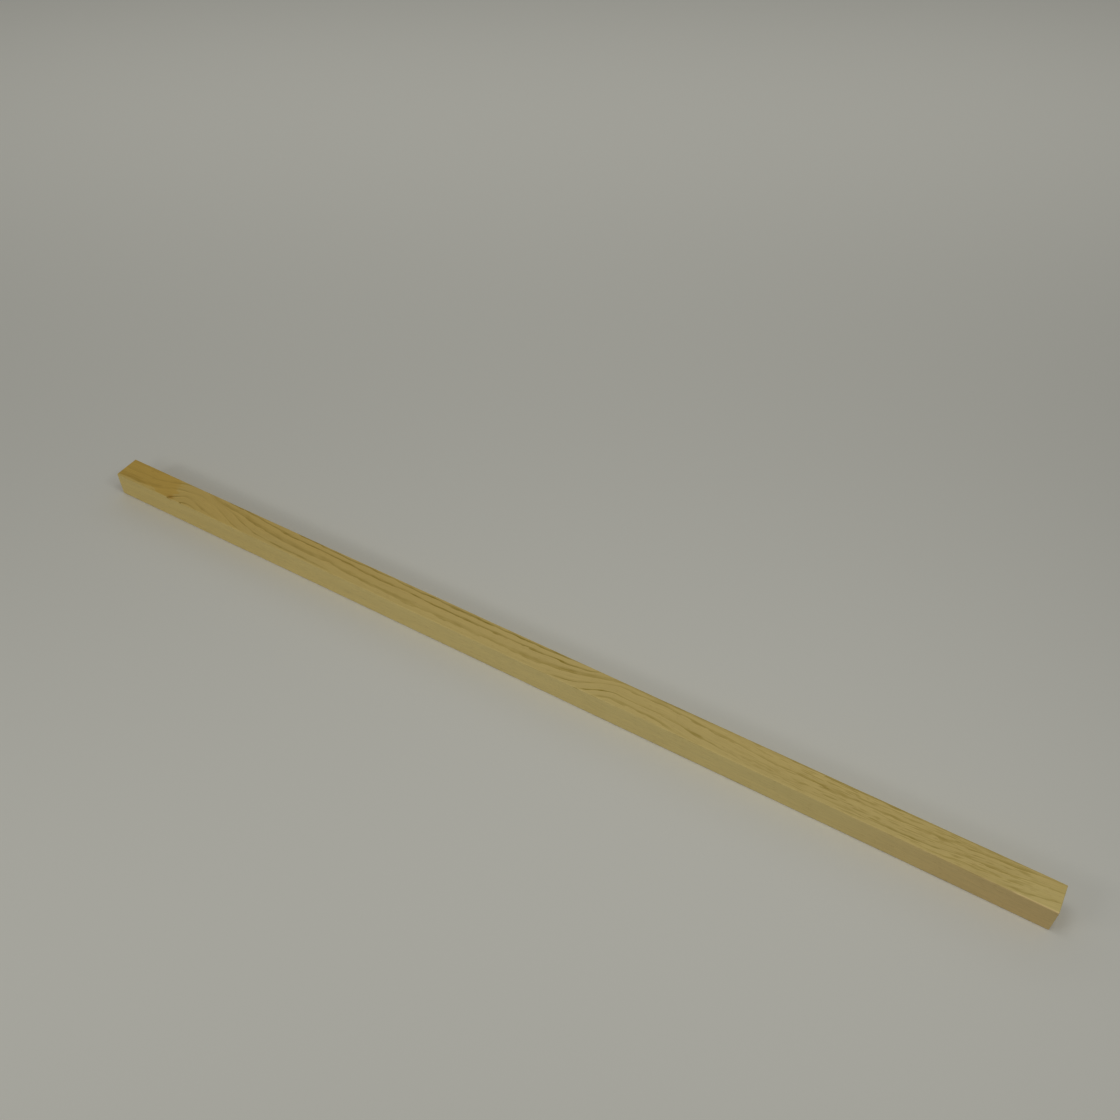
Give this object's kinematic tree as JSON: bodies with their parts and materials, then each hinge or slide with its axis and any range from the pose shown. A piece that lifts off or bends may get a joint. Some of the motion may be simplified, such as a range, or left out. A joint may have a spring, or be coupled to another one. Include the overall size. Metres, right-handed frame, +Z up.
{
  "type": "square timber strip",
  "caption": "Straight length of planed softwood, square in section, with lightly eased long edges and both ends cut square.",
  "frame": {"origin": "centre of the lower long face, halfway between the two ends", "axes": "+X along the grain from the left end to the right end, +Y across to the back face, +Z up out of the upper face"},
  "size_m": [0.9, 0.025, 0.025],
  "materials": {
    "pine": "bare planed pine: matt to faintly silky along the grain, pale straw earlywood with fine darker latewood lines on the upper and lower faces, plain on the two sides, sawn end grain"
  },
  "bodies": {
    "root": {"timber_strip": "pine"}
  },
  "joints": []
}
